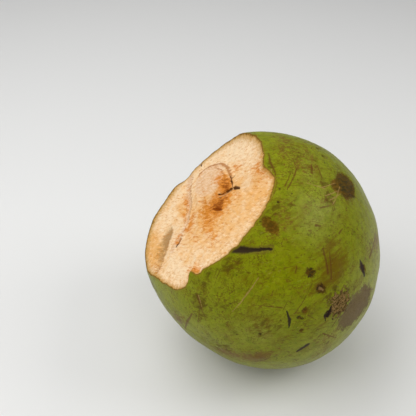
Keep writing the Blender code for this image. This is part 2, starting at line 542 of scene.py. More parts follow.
def skin_mark(polar_degrees, azimuth_degrees):
    """The place on the plain skin at two angles, in millimetres from the fruit's middle."""
    return skin_point(math.radians(polar_degrees), math.radians(azimuth_degrees)) / MM


def to_gash(places):
    """Distance in millimetres to the path of the gash, and the share of the way along it."""
    points = [skin_mark(*point) for point in GASH]
    best, best_share = np.full(places.shape[:-1], 1e3), np.zeros(places.shape[:-1])
    for number, (start, end) in enumerate(zip(points, points[1:])):
        run = end - start
        share = np.clip((places - start) @ run / (run @ run), 0, 1)
        near = np.linalg.norm(places - start - share[..., None] * run, axis=-1)
        best_share = np.where(near < best, (share + number) / (len(points) - 1), best_share)
        best = np.minimum(near, best)
    return best, best_share


# Depths and heights in millimetres
BRUISE_DENT = 0.4
PATCH_DENT = 0.2
SCAB_HEIGHT = 0.35
SCAB_LUMPS = 0.22
GASH_DEPTH = 0.9
GASH_HALF_WIDTH = 2.6
GASH_TAPER = 1.9
RIM_FADE = 2.5

plain_skin = skin_point(polar, skin_azimuth)
skin_mm = plain_skin / MM
from_rim = (polar - edge) * EQUATOR_RADIUS / MM
gash_near, gash_share = to_gash(skin_mm)
gash_width = GASH_HALF_WIDTH - GASH_TAPER * gash_share
swell = 0.22 * uneven(skin_mm, 38, 31) + 0.05 * uneven(skin_mm, 9, 32)
swell -= BRUISE_DENT * smooth_step(-0.3, 0.8, bruise)
swell -= PATCH_DENT * smooth_step(-0.3, 1, patch)
swell += smooth_step(-0.5, 0.8, scab) * (SCAB_HEIGHT + SCAB_LUMPS * uneven(skin_mm, 2.6, 33))
swell -= GASH_DEPTH * np.exp(-((gash_near / (0.7 * gash_width)) ** 4))
swell *= smooth_step(0, RIM_FADE, from_rim)
skin_rows = plain_skin + outward(plain_skin) * (swell * MM)[..., None]
print("skin relief from", round(float(swell.min()), 2), "to", round(float(swell.max()), 2), "mm")

# %% [markdown]
# ## One closed mesh
#
# The rows are stacked, the two poles get a point each, and neighbouring rows are joined by
# quads with whole-array index sums. The fruit is set into the frame, and what reaches
# below the floor is pressed flat, which makes the small spot it rests on. The values that
# the finish needs are stored as named attributes beside the points.

# %% Join the grid
def grid_faces(rows, columns):
    """Quads between neighbouring rows that close around, then a fan at each pole. Point 0
    is the first pole, and the last point is the other pole."""
    row, column = np.meshgrid(np.arange(rows - 1), np.arange(columns), indexing="ij")
    beside = (column + 1) % columns
    corners = [row * columns + column, (row + 1) * columns + column]
    corners += [(row + 1) * columns + beside, row * columns + beside]
    quads = np.stack(corners, -1).reshape(-1, 4) + 1
    ring = np.arange(columns)
    first = np.stack([0 * ring, ring + 1, (ring + 1) % columns + 1], -1)
    base = (rows - 1) * columns + 1
    last = np.stack([0 * ring + rows * columns + 1, base + (ring + 1) % columns, base + ring], -1)
    return quads.tolist() + first.tolist() + last.tolist()


tail = skin_point(math.pi - 1e-6, 0.0)
grid = np.concatenate([cut_rows, skin_rows])
points = np.concatenate([cut_centre[None], grid.reshape(-1, 3), tail[None]])
in_frame = into_frame(points)
in_frame[:, 2] = np.maximum(in_frame[:, 2], 0)
mesh = bpy.data.meshes.new("coconut_skin_and_husk")
mesh.from_pydata(in_frame.tolist(), [], grid_faces(len(grid), AROUND))
mesh.update()
coconut = bpy.data.objects.new("green_coconut", mesh)
bpy.context.scene.collection.objects.link(coconut)
print("mesh:", len(mesh.vertices), "points,", len(mesh.polygons), "faces")

# %% [markdown]
# A line of grid edges is the sharp rim. Marking those edges sharp keeps the smooth shading
# of skin and cut apart, and the rest is shaded smooth.

# %% Smooth shading with a sharp rim
mesh.shade_smooth()
ends = np.zeros(2 * len(mesh.edges), dtype=np.int64)
mesh.edges.foreach_get("vertices", ends)
on_rim = (ends > (CUT_ROWS - 1) * AROUND) & (ends <= CUT_ROWS * AROUND)
sharp = mesh.attributes.new("sharp_edge", "BOOLEAN", "EDGE")
sharp.data.foreach_set("value", on_rim.reshape(-1, 2).all(1))
print("sharp edges:", int(on_rim.reshape(-1, 2).all(1).sum()), "for", AROUND, "columns")

# %% [markdown]
# ## What the finish reads from the mesh
#
# The finish needs to know how far a point is from the rim, where it lies on the plain
# skin and on the cut, and how deep it is in each kind of mark. Every value below covers
# the whole grid, skin and cut alike, and changes gently across the rim, so nothing smears
# where the two meet.

# %% Attributes
OUTSIDE = -9  # the depth in a mark where there is none
FAR = 99  # millimetres, where a distance no longer matters


def whole(cut_part, skin_part, poles=None):
    """Stack one value for every point: cut rows, skin rows and the two poles, which take
    the cut's value unless their own are given."""
    centre, tail_value = poles or (cut_part, cut_part)
    shape = cut_rows.shape[:2]
    parts = [np.broadcast_to(cut_part, shape).ravel(), np.broadcast_to(skin_part, polar.shape).ravel()]
    return np.concatenate([[centre], *parts, [tail_value]])


def store(name, *values):
    """Keep one number, or three as a vector, for each point of the mesh."""
    kind, key = ("FLOAT", "value") if len(values) == 1 else ("FLOAT_VECTOR", "vector")
    layer = mesh.attributes.new(name, kind, "POINT")
    layer.data.foreach_set(key, np.stack(values, -1).astype(np.float32).ravel())


def soft_ovals(side, up, rows):
    """A sum of soft ovals, each with a middle, two half widths and a strength."""
    total = 0.0
    for x, y, wide, high, strength in rows:
        total = total + strength * bell(np.hypot((side - x) / wide, (up - y) / high), 1)
    return total


def stain_field(side, up):
    """Brown sap stains on the husk."""
    stains = (
        (8, 13, 9, 8, 1.2),
        (0, 20, 7, 5, 0.9),
        (15, 6, 8, 4.5, 1.3),
        (5, 3, 6, 5, 0.5),
        (-10, 19, 11, 5, 0.95),
        (8, -4, 20, 8, 0.75),
        (27, -6, 12, 6, 0.45),
        (40, -8, 10, 8, 0.25),
        (20, 18, 9, 9, 0.45),
        (-33, -15, 8, 3.5, 0.9),
        (-22, -21, 9, 2.5, 0.7),
        (-42, 0, 4, 8, 0.4),
        (-3, -14, 4, 5, 0.6),
        (3, -23, 3.5, 7, 0.8),
        (16, -20, 13, 3.5, 0.5),
        (26, 45, 12, 8, 0.7),
        (-5, 33, 6, 4, 0.7),
        (55, -28, 7, 4.5, 1.0),
        (45, -33, 5, 3, 0.6),
        (5, -34, 10, 3.5, 0.6),
        (12, -56, 12, 4, 0.45),
    )
    return soft_ovals(side, up, stains)


def warmth_field(side, up):
    """Where the husk is more peach than cream: warm around the torn fibres and towards the
    side rim, pale at the top and bottom."""
    areas = (
        (38, 12, 26, 26, 0.42),
        (8, -6, 26, 14, 0.55),
        (45, 38, 16, 12, 0.5),
        (2, 20, 22, 14, 0.5),
        (-25, -17, 16, 7, 0.5),
        (-12, -54, 26, 9, 0.85),
        (20, -30, 20, 10, 0.25),
        (-20, 52, 20, 14, -0.3),
        (-30, 38, 22, 12, -0.25),
        (25, -42, 24, 14, -0.15),
    )
    return 0.2 + soft_ovals(side, up, areas)


def wear_width(side, up):
    """How wide the brown border of the rim is: 4.5 mm, with up to 2.3 more on the side where
    the husk is thin against the skin, and as much less across from it."""
    far_side = np.clip((0.3 * up - 0.95 * side) / 60, -1, 1)
    return 4.5 + 2.3 * far_side


def ridge_field(side, up):
    """Brown lines: the torn edge around the scar, the ledge's lip, the scoop's edge and a
    few lines of the scar's own skin. Each has a path, a half width and a strength."""
    lines = (
        (TORN_EDGE, 1.7, 1.0),
        (LEDGE, 1.0, 0.75),
        (SCAR_LINE, 1.0, 0.6),
        (BAND_LINE, 1.0, 0.6),
        (SCOOP, 1.1, 0.5),
    )
    return np.max([strength * bell(to_path(side, up, path)[0], width) for path, width, strength in lines], 0)


def scar_and_ledge_shade_field(side, up):
    """The pale skin of the stem scar, and painted shade on the sunk band beside the ledge, where the ledge
    drops.
    """
    scar = 1 - smooth_step(0.8, 1.05, np.hypot((side + 24) / 21, (up - 11) / 15))
    near, across, _ = to_path(side, up, LEDGE)
    band = smooth_step(-9, -5.5, across) * (1 - smooth_step(-1.2, 0.3, across))
    return np.maximum(scar, band * (1 - smooth_step(6, 10, near)))


def shade_field(side, up):
    """Painted shade down in the scoop, a grey-brown over the husk: it ends sharply on one side,
    fades out on the other, where it is widest half way along, and weakens towards the rim."""
    near, across, along = to_path(side, up, SCOOP)
    width = np.where(across > 0, 1.8, 3 + 6 * np.sin(np.pi * np.clip(0.15 + 0.75 * along, 0, 1)))
    return bell(near, width) * (0.55 + 0.45 * smooth_step(1.0, 0.25, along))


place_side = (points - cut_middle) @ cut_side / MM
place_up = (points - cut_middle) @ cut_up / MM
reach = -(1 - cut_share) * rim_reach / MM
rim_distance = whole(reach, from_rim, (-60, 150))
store("rim_distance", rim_distance)
plain_grid = np.concatenate([cut_rows, plain_skin]).reshape(-1, 3)
plain = np.concatenate([cut_centre[None], plain_grid, tail[None]]) / MM
store("skin_place", *plain.T)
store("cut_place", place_side, place_up, np.hypot(place_side, place_up))
store("skin_marks", whole(OUTSIDE, bruise), whole(0, bruise_tone), whole(0.5, fresh, (0.5, 0)))
store("skin_scars", whole(OUTSIDE, patch), whole(OUTSIDE, scab), whole(FAR, gash_near))
store("skin_tints", *[whole(0, tint) for tint in tints])
store("skin_bloom_and_sheen", whole(0, bloom_and_sheen))
husk_fields = [field(place_side, place_up) for field in (stain_field, scar_and_ledge_shade_field, shade_field)]
store("husk_marks_and_painted_shade", *husk_fields)
store("husk_ridges", ridge_field(place_side, place_up))
store("husk_warmth", warmth_field(place_side, place_up))
store("rim_wear", rim_distance / wear_width(place_side, place_up))
print("attributes:", [layer.name for layer in mesh.attributes if not layer.name.startswith(".")])

# %% [markdown]
# ## A bench for laying nodes
#
# The finish is one material with many layers. Written out, its nodes would fill pages, so
# a small bench lays a node in one call and hands back its output. A value given to an
# input may be a number or another node's output.

# %% The node bench
class Bench:
    """Lays the nodes of one material."""

    def __init__(self, name):
        self.material = bpy.data.materials.new(name)
        self.material.use_nodes = True
        self.tree = self.material.node_tree
        self.shader = self.tree.nodes["Principled BSDF"]

    def tell(self, layer):
        """Print how many nodes there are, now that this layer is on."""
        print("nodes with", layer + ":", len(self.tree.nodes))

    def feed(self, socket, value):
        """Wire an output to a socket, or set the socket's own value. Colours are opaque."""
        if isinstance(value, bpy.types.NodeSocket):
            self.tree.links.new(value, socket)
        else:
            socket.default_value = (*value, 1) if socket.type == "RGBA" else value

    def lay(self, kind, values, output=0, **settings):
        """Add one node, apply its settings and feed its inputs by name or number."""
        node = self.tree.nodes.new("ShaderNode" + kind)
        for name, value in settings.items():
            setattr(node, name, value)
        for key, value in values.items():
            self.feed(node.inputs[key], value)
        return node.outputs[output]

    def sums(self, operation, *values):
        """One step of arithmetic."""
        return self.lay("Math", dict(enumerate(values)), operation=operation)

    def times(self, first, second):
        """Two numbers multiplied."""
        return self.sums("MULTIPLY", first, second)

    def vector(self, operation, *values, output=0):
        """One step of vector arithmetic. Output 1 is the number, such as a length."""
        return self.lay("VectorMath", dict(enumerate(values)), output=output, operation=operation)

    def span(self, value, low, high, bottom=0.0, top=1.0):
        """Ease a value from one range into another."""
        values = {"Value": value, "From Min": low, "From Max": high, "To Min": bottom, "To Max": top}
        return self.lay("MapRange", values, interpolation_type="SMOOTHSTEP", clamp=False)

    def blend(self, share, under, over):
        """Lay one colour over another."""
        return self.lay("Mix", {0: share, 6: under, 7: over}, output=2, data_type="RGBA")

    def glaze(self, under, pattern, low, high, most, tint):
        """Lay a tint over a colour where a pattern goes from low to high, at most so strongly."""
        return self.blend(self.span(pattern, low, high, 0, most), under, tint)

    def noise(self, place, size, detail=2.0, rough=0.5, twist=0.0):
        """Uneven grey with lumps of about this size, in millimetres."""
        values = {"Vector": place, "Scale": 1 / size, "Detail": detail}
        return self.lay("TexNoise", {**values, "Roughness": rough, "Distortion": twist})

    def contrast(self, value, strength, base=0.0):
        """Noise swings about one half: take that off, stretch it and add it to a base."""
        return self.sums("MULTIPLY_ADD", value, strength, self.sums("ADD", base, -0.5 * strength))

    def threads(self, place, size, width):
        """Thin winding lines: they run where noise passes through its middle value."""
        gap = self.sums("ABSOLUTE", self.sums("SUBTRACT", self.noise(place, size, 3, 0.6, 0.4), 0.5))
        return self.span(gap, width, 0.2 * width)

    def read(self, name, output=1):
        """A stored attribute: output 1 is a vector and output 2 a number."""
        return self.lay("Attribute", {}, output=output, attribute_name=name)

    def split(self, vector):
        """The three numbers of a vector."""
        node = self.tree.nodes.new("ShaderNodeSeparateXYZ")
        self.tree.links.new(vector, node.inputs[0])
        return node.outputs[:]

    def channels(self, tint):
        """The red, green and blue of a colour."""
        node = self.tree.nodes.new("ShaderNodeSeparateColor")
        self.tree.links.new(tint, node.inputs[0])
        return node.outputs[:]

    def drawn_out(self, place, heading, share):
        """Coordinates squeezed to a share along a heading, which draws a pattern out along
        it: the part of the place that lies along the heading is mostly taken away."""
        heading = Vector(heading).normalized()
        along = self.vector("DOT_PRODUCT", place, tuple(heading), output=1)
        spare = self.lay("VectorMath", {0: tuple(heading * (1 - share)), 3: along}, operation="SCALE")
        return self.vector("SUBTRACT", place, spare)

    def stroke(self, place, start, end, wide, narrow, soft):
        """One inside a stroke between two points that tapers from wide to narrow: the
        distance to the segment is compared with its half width there."""
        run = Vector(end) - Vector(start)
        from_start = self.vector("SUBTRACT", place, tuple(start))
        along = self.vector("DOT_PRODUCT", from_start, tuple(run / run.length_squared), output=1)
        share = self.lay("Clamp", {"Value": along})
        run_there = self.lay("VectorMath", {0: tuple(run), 3: share}, operation="SCALE")
        near = self.vector("DISTANCE", from_start, run_there, output=1)
        width = self.sums("MULTIPLY_ADD", share, narrow - wide, wide)
        return self.span(self.sums("DIVIDE", near, width), 1 + soft, 1 - soft)

    def strokes(self, place, rows, soft=0.45):
        """The most of several strokes, each given by two points and two half widths."""
        result = 0.0
        for start, end, wide, narrow in rows:
            result = self.sums("MAXIMUM", self.stroke(place, start, end, wide, narrow, soft), result)
        return result


bench = Bench("waxed_skin_and_husk")

# Short names for the tools of this bench
lay, sums, times, vector = bench.lay, bench.sums, bench.times, bench.vector
span, blend, glaze, contrast = bench.span, bench.blend, bench.glaze, bench.contrast
noise, threads, drawn_out, strokes = bench.noise, bench.threads, bench.drawn_out, bench.strokes
read, split, channels = bench.read, bench.split, bench.channels
print("material on the bench:", bench.material.name)

# %% [markdown]
# ## Green skin
#
# Coconut skin is a waxy yellow-green, fresher in the middle of this side and greyer and
# browner elsewhere. Under the wax run faint streaks from stem to tail, and pale bloom lies
# on it where nothing rubbed. The same pale layer grows towards the tail, partly dusty bloom
# and partly painted bounce light from the floor, and one oval of it is a painted highlight.
# Rubbing leaves thin brown smears, and rain and insects leave specks. Each is a thin layer
# over the one before, as glazes would be painted.

# %% Ground colour of the skin
def skin_heading(polar_degrees, azimuth_degrees, east, south):
    """A direction along the skin, from how far it goes around and how far to the tail."""
    polar, azimuth = math.radians(polar_degrees), math.radians(azimuth_degrees)
    around = np.array([-math.sin(azimuth), math.cos(azimuth), 0])
    level = np.array([math.cos(azimuth), math.sin(azimuth), 0])
    return east * around + south * (level * math.cos(polar) - np.array([0, 0, math.sin(polar)]))


place = read("skin_place")
rim_gap = read("rim_distance", output=2)
fresh_in = split(read("skin_marks"))[2]
clouds = noise(place, 24, detail=3, rough=0.55)
freshness = lay("Clamp", {0: contrast(clouds, 1.3, fresh_in)})
skin = blend(freshness, (0.222, 0.248, 0.006), (0.208, 0.23, 0.0004))
streaks = noise(drawn_out(place, (0, 0, 1), 0.16), 2.4, detail=3, rough=0.6)
skin = glaze(skin, streaks, 0.45, 0.72, 0.45, (0.12, 0.15, 0.0005))
swash = noise(drawn_out(place, skin_heading(65, 290, 1, 0.5), 0.35), 7.5, detail=5, rough=0.66)
skin = glaze(skin, swash, 0.5, 0.68, 0.8, (0.165, 0.14, 0.0005))
skin = glaze(skin, swash, 0.48, 0.32, 0.6, (0.255, 0.3, 0.004))
mottle = noise(place, 4.6, detail=3, rough=0.62)
skin = glaze(skin, mottle, 0.54, 0.74, 0.42, (0.29, 0.3, 0.012))
skin = glaze(skin, mottle, 0.46, 0.3, 0.5, (0.125, 0.16, 0.0005))
wisp_place = drawn_out(place, skin_heading(60, 270, 1, 0.25), 0.45)
wisps = noise(wisp_place, 3.4, detail=4, rough=0.64, twist=0.5)
skin = glaze(skin, wisps, 0.56, 0.72, 0.6, (0.135, 0.1, 0.001))
# Paler towards the tail: partly dusty bloom and partly painted bounce light from the floor, plus the bloom
# ovals with their painted highlight
tailward = times(split(place)[2], -1.0)
bloom_and_painted_light = sums("ADD", span(tailward, -10.0, 42.0, 0, 0.8), read("skin_bloom_and_sheen", output=2))
bloom_and_painted_light = times(bloom_and_painted_light, span(mottle, 0.35, 0.65, 0.4, 1.0))
skin = blend(lay("Clamp", {0: bloom_and_painted_light}), skin, (0.35, 0.37, 0.08))
grit = noise(drawn_out(place, skin_heading(65, 290, 1, -0.3), 0.6), 1.5, detail=2, rough=0.6)
skin = glaze(skin, grit, 0.45, 0.28, 0.2, (0.11, 0.13, 0.001))
skin = glaze(skin, grit, 0.56, 0.76, 0.3, (0.33, 0.34, 0.02))
bench.tell("the ground colour")

# %% Amber, russet and grime
shake = channels(lay("TexNoise", {"Vector": place, "Scale": 0.6, "Detail": 2.0}, output=1))
shake = lay("CombineXYZ", {axis: sums("SUBTRACT", shake[axis], 0.5) for axis in range(3)})
shaky = vector("MULTIPLY_ADD", shake, (1.1, 1.1, 1.1), place)
amber_in, russet_in, grime_in = split(read("skin_tints"))
wiped = noise(drawn_out(place, skin_heading(79, 297, 1, 0.43), 0.2), 2.3, detail=4, rough=0.7)
amber = span(contrast(wiped, 3.4, amber_in), 0.25, 1.6, 0, 0.8)
skin = blend(amber, skin, (0.135, 0.07, 0.0005))
torn = noise(place, 2.3, detail=4, rough=0.68, twist=0.7)
russet = span(contrast(torn, 4.6, sums("ADD", russet_in, 0.12)), 0.35, 1.5, 0, 0.75)
skin = blend(russet, skin, (0.155, 0.06, 0.01))
grime = times(grime_in, 0.8)
grime = span(contrast(wisps, -5.5, grime), 0.35, 1.5, 0, 0.75)
skin = blend(grime, skin, (0.085, 0.052, 0.002))
bench.tell("the discolouring")

# %% Threads and specks
web = threads(place, 7.0, 0.02)
web = times(web, span(noise(place, 17, 2), 0.46, 0.6, 0.0, 0.7))
skin = blend(web, skin, (0.1, 0.055, 0.004))
web_across = threads(drawn_out(place, skin_heading(70, 280, 1, 0.8), 0.3), 4.5, 0.025)
web_across = times(web_across, span(noise(place, 12, 2), 0.48, 0.62, 0.0, 0.65))
skin = blend(web_across, skin, (0.12, 0.05, 0.006))
dots = lay("TexVoronoi", {"Vector": shaky, "Scale": 0.24, "Randomness": 1.0}, output=0)
lots = channels(lay("TexVoronoi", {"Vector": shaky, "Scale": 0.24, "Randomness": 1.0}, output=1))
dot_size = times(lots[1], sums("LESS_THAN", lots[0], 0.3))
speck = span(sums("SUBTRACT", dots, times(dot_size, 0.2)), 0.03, -0.03, 0, 0.75)
skin = blend(speck, skin, (0.06, 0.035, 0.004))
bench.tell("threads and specks")

# %% [markdown]
# ## Scratches
#
# Fine scratches come from stretched noise: along a few headings only the rarest peaks of
# a drawn-out pattern are kept, which leaves short hair-thin dashes. The long scratches
# that give the fruit its own face are laid one by one as tapering strokes.

# %% Fine scratches
# Heading, tint and strength
DASHES = (
    (skin_heading(60, 300, 1, 0.9), (0.33, 0.32, 0.06), 0.3),
    (skin_heading(60, 300, 1, 1.6), (0.11, 0.055, 0.004), 0.65),
    (skin_heading(75, 270, 1, -0.5), (0.1, 0.055, 0.004), 0.65),
    (skin_heading(50, 330, 0.2, 1), (0.12, 0.05, 0.004), 0.6),
)
for heading, tint, strength in DASHES:
    hair = noise(drawn_out(place, heading, 0.07), 0.8, detail=1, rough=0.4)
    skin = glaze(skin, hair, 0.67, 0.75, strength, tint)
print("headings of fine scratches:", len(DASHES))

# %% Long strokes
LONGEST_PIECE = 8  # degrees; a longer stroke is laid in pieces

# Start and end as polar angle and azimuth, then the two half widths in millimetres
PALE_STROKES = (
    ((54.5, 267.5), (57, 257.5), 0.2, 0.5),
    ((57, 257.5), (60.6, 246), 0.5, 0.2),
    ((64, 325), (71, 332), 0.4, 0.2),
    ((62, 329), (69.5, 336), 0.4, 0.2),
    ((66.5, 324), (72.5, 331), 0.4, 0.2),
    ((54.5, 328.5), (63.5, 329), 0.2, 0.4),
    ((68, 322), (72, 335), 0.3, 0.35),
    ((77.8, 283.4), (79.4, 283.9), 0.9, 0.6),
    ((50.5, 231.5), (56, 230.5), 0.35, 0.15),
    ((39, 320), (38.6, 334), 0.5, 0.4),
    ((41, 312), (39, 320), 0.3, 0.5),
)
BROWN_STROKES = (
    ((39, 350), (38.6, 341), 0.3, 0.6),
    ((38.6, 341), (40.2, 332), 0.9, 0.5),
    ((40.2, 332), (41.4, 322), 0.45, 0.4),
    ((41.4, 322), (41, 308), 0.4, 0.2),
    ((92, 244), (93, 234), 0.3, 0.6),
    ((98, 280), (102, 290), 0.3, 0.5),
    ((59.5, 221), (66, 212.5), 0.5, 0.9),
    ((66, 212.5), (75, 203.5), 0.9, 0.3),
    ((50, 230.5), (63, 228.5), 0.45, 0.2),
    ((57, 228), (68, 219), 0.3, 0.15),
    ((50, 337), (46.2, 319.5), 0.5, 0.35),
    ((47.2, 333), (45, 321.5), 0.25, 0.4),
    ((65, 260.5), (70.5, 266), 0.35, 0.5),
    ((73.2, 282.8), (76.5, 268), 0.25, 0.35),
    ((57.2, 336.5), (57.6, 342.5), 1, 0.5),
    ((62, 336), (60.5, 343), 0.6, 0.3),
    ((62.5, 307), (64.8, 308), 0.9, 0.4),
    ((75, 310.5), (76, 313.5), 0.7, 0.5),
    ((64, 282), (63.2, 284.6), 0.5, 0.3),
    ((97, 269.5), (108, 271.5), 0.6, 0.3),
    ((98, 274.5), (96, 283), 0.5, 0.3),
    ((106, 298), (117, 304), 0.6, 0.3),
    ((99, 312), (104, 330), 0.9, 0.4),
    ((81.5, 271.5), (87, 272.2), 0.3, 0.2),
    ((69.5, 299), (77, 291), 0.5, 0.8),
    ((73, 299.5), (80, 290), 0.4, 0.6),
    ((62.5, 317), (66, 320), 0.6, 0.3),
)
DARK_STROKES = (
    ((38.6, 266.5), (43.5, 273.2), 3, 2),
    ((43.5, 273.2), (50.2, 282.8), 1.6, 0.6),
    ((47, 279.5), (50.6, 282.8), 0.4, 0.9),
    ((80, 262), (77, 264.6), 0.5, 1.1),
    ((77, 264.6), (73, 266.4), 0.9, 0.4),
    ((96.4, 255.6), (96.3, 261.2), 1.1, 1.5),
    ((90.4, 276.8), (88.4, 280.5), 1.3, 0.7),
    ((89, 276), (91.5, 274.5), 0.8, 0.4),
    ((91.6, 306.8), (96, 305.2), 0.4, 1.7),
    ((96, 305.2), (99.8, 303), 1.9, 1.2),
)


def skin_strokes(rows, soft):
    """Strokes on the skin, whose ends are given by two angles in degrees. A straight line
    between far ends would run under the curved skin, so a long stroke is laid in pieces."""
    placed = []
    for start, end, wide, narrow in rows:
        pieces = math.ceil(math.dist(start, end) / LONGEST_PIECE)
        turns = np.linspace(start, end, pieces + 1)
        widths = np.linspace(wide, narrow, pieces + 1)
        ends = [skin_mark(*turn) for turn in turns]
        placed += zip(ends, ends[1:], widths, widths[1:])
    return strokes(shaky, placed, soft)


brown = times(skin_strokes(BROWN_STROKES, 0.9), 0.85)
skin = blend(brown, skin, (0.115, 0.045, 0.006))
bench.tell("the brown strokes")

# %% [markdown]
# ## Bruises, scabs and the worn patch
#
# A bruise's stored distance is disturbed by noise before it is cut off, which gives it a
# torn outline. Its tone goes from brown at the edge to nearly black in the middle. A scab
# is cork: tan ridges with dark cracks. The worn patch is a flat grey-brown.

# %% Larger marks
bruise_in, tone, _ = split(read("skin_marks"))
patch_in, scab_in, gash_in = split(read("skin_scars"))
ragged = noise(place, 3.2, detail=5, rough=0.7)
fine_rag = noise(place, 1.1, detail=3, rough=0.6)

patch_mask = span(contrast(ragged, 5.0, patch_in), -0.2, 0.75, 0, 0.88)
patch_tone = blend(span(fine_rag, 0.3, 0.7), (0.115, 0.072, 0.034), (0.165, 0.105, 0.055))
patch_tone = glaze(patch_tone, clouds, 0.5, 0.36, 0.7, (0.075, 0.042, 0.014))
skin = blend(patch_mask, skin, patch_tone)

scab_mask = span(contrast(ragged, 8.5, scab_in), 0.0, 0.7, 0, 0.9)
cork = noise(place, 2.9, detail=3, rough=0.65, twist=1.8)
cork_tone = blend(span(cork, 0.42, 0.57), (0.05, 0.024, 0.004), (0.27, 0.155, 0.055))
skin = blend(scab_mask, skin, cork_tone)

bruise_edge = contrast(fine_rag, 1.6, contrast(ragged, 2.2, bruise_in))
bruise_mask = span(bruise_edge, -0.25, 0.55, 0, 0.92)
bruise_core = sums("ADD", span(bruise_edge, 0.1, 2.2, 0, 0.3), tone)
drag = noise(drawn_out(place, skin_heading(74, 338, 0.5, 1), 0.3), 1.6, detail=4, rough=0.7)
bruise_core = contrast(drag, 2.6, bruise_core)
bruise_tint = blend(span(bruise_core, -0.1, 0.6), (0.165, 0.08, 0.004), (0.084, 0.038, 0.0005))
bruise_tint = blend(span(bruise_core, 0.6, 1.1), bruise_tint, (0.016, 0.01, 0.004))
skin = blend(bruise_mask, skin, bruise_tint)
halo = span(contrast(ragged, 5.0, gash_in), 3.4, 1.6, 0, 0.5)
skin = blend(halo, skin, (0.13, 0.075, 0.015))
pale = times(skin_strokes(PALE_STROKES, 0.8), 0.7)
skin = blend(pale, skin, (0.37, 0.23, 0.07))
dark = times(skin_strokes(DARK_STROKES, 0.4), 0.93)
skin = blend(dark, skin, (0.026, 0.013, 0.009))
skin = glaze(skin, rim_gap, 1.8, 0.1, 0.75, (0.24, 0.19, 0.008))
bench.tell("the marks")

# %% [markdown]
# ## Bared husk
#
# Cut husk is cream with orange-brown flecks where tannin has oozed from the fibres. It
# browns first around the stem scar and along the rim, where the air reached it. The scar
# itself is smooth and greyish pink. The same greyish pink is laid as painted shade on the
# band where the ledge drops, and a grey-brown as painted shade down in the scoop. Slits
# between torn fibres are nearly black.

# %% Husk colours
cut_at = read("cut_place")
stain_in, scar_and_shade_in, shade_in = split(read("husk_marks_and_painted_shade"))
flat = vector("MULTIPLY", cut_at, (1, 1, 0))
husk_drawn = drawn_out(flat, (1, 0.45, 0), 0.4)
grain = noise(husk_drawn, 1.6, detail=4, rough=0.7)
broad = noise(flat, 9, detail=4, rough=0.65)
warmth = contrast(broad, 1.8, read("husk_warmth", output=2))
husk = blend(span(warmth, -0.1, 1.0), (0.91, 0.685, 0.43), (0.83, 0.45, 0.15))
husk = glaze(husk, grain, 0.5, 0.74, 0.55, (0.7, 0.31, 0.07))
husk = glaze(husk, grain, 0.46, 0.3, 0.7, (0.96, 0.8, 0.57))
flecks = noise(drawn_out(flat, (0.8, 1, 0), 0.4), 1.7, detail=3, rough=0.6)
husk = glaze(husk, flecks, 0.52, 0.76, 0.6, (0.58, 0.23, 0.04))
bench.tell("the plain husk")

# %% Radial fibres near the rim
outwards = vector("NORMALIZE", flat)
radial = vector("MULTIPLY_ADD", outwards, (42, 42, 0), vector("MULTIPLY", cut_at, (0, 0, 0.3)))
hairs = noise(radial, 1.0, detail=3, rough=0.6)
near_rim = span(rim_gap, -16, -2)
hair_mask = times(span(hairs, 0.5, 0.74, 0, 0.75), near_rim)
husk = blend(hair_mask, husk, (0.55, 0.26, 0.055))
hair_light = times(span(hairs, 0.46, 0.3, 0, 0.5), near_rim)
husk = blend(hair_light, husk, (0.92, 0.74, 0.48))
bench.tell("the fibres at the rim")

# %% Scar, scoop and sap
sap = noise(drawn_out(flat, (1, 0.75, 0), 0.35), 2.2, detail=5, rough=0.75, twist=0.4)
# The scar's greyish pink, also laid as painted shade on the band where the ledge drops
scar_and_shade_tone = blend(span(grain, 0.36, 0.66), (0.8, 0.58, 0.39), (0.66, 0.36, 0.17))
husk = blend(times(scar_and_shade_in, 0.72), husk, scar_and_shade_tone)
# Painted shade down in the scoop: a grey-brown laid over the husk
shade_mix = span(contrast(sap, 2.2, shade_in), 0.05, 0.95, 0, 0.85)
husk = blend(shade_mix, husk, (0.35, 0.185, 0.055))
sap_reach = contrast(sap, 4.4, stain_in)
husk = glaze(husk, sap_reach, 0.15, 1.0, 0.88, (0.66, 0.215, 0.014))
husk = glaze(husk, sap_reach, 1.0, 1.8, 0.9, (0.24, 0.05, 0.003))
ridge_in = read("husk_ridges", output=2)
ridge = span(contrast(grain, 2.0, ridge_in), 0.25, 0.9, 0, 0.8)
husk = blend(ridge, husk, (0.42, 0.145, 0.025))
bench.tell("scar and sap")

# %% Husk rim and slits
wear = read("rim_wear", output=2)
rim_rag = contrast(noise(flat, 2.0, detail=4, rough=0.7), 1.6, wear)
husk = glaze(husk, rim_rag, -1.5, -0.1, 0.9, (0.5, 0.265, 0.05))
rim_dark = contrast(hairs, 0.9, wear)
husk = glaze(husk, rim_dark, -0.45, -0.05, 0.9, (0.17, 0.088, 0.008))

SLIT_STROKES = (
    ((18, 26.5), (12, 23.5), 0.5, 1.7),
    ((12, 23.5), (8, 18), 1.6, 0.9),
    ((8, 18), (4.5, 10.5), 0.8, 0.3),
    ((7.6, 22), (5, 16.5), 0.5, 0.8),
    ((5, 16.5), (1.5, 11), 0.6, 0.3),
    ((-3, 25.6), (4, 24), 0.4, 0.9),
    ((4, 24), (9, 21.5), 0.7, 0.5),
    ((0, 29), (1, 24), 0.3, 0.5),
    ((6, -28), (9.5, -35), 0.4, 0.9),
    ((-58.5, 11), (-54, 11), 1, 0.4),
)
FIBRE_STROKES = (
    ((10.5, 22), (6.5, 15), 0.5, 0.35),
    ((6.5, 15), (3.5, 9.5), 0.35, 0.2),
)


def on_cut(rows):
    """The same strokes with a third coordinate of zero, for places on the cut."""
    return [((*start, 0), (*end, 0), wide, narrow) for start, end, wide, narrow in rows]


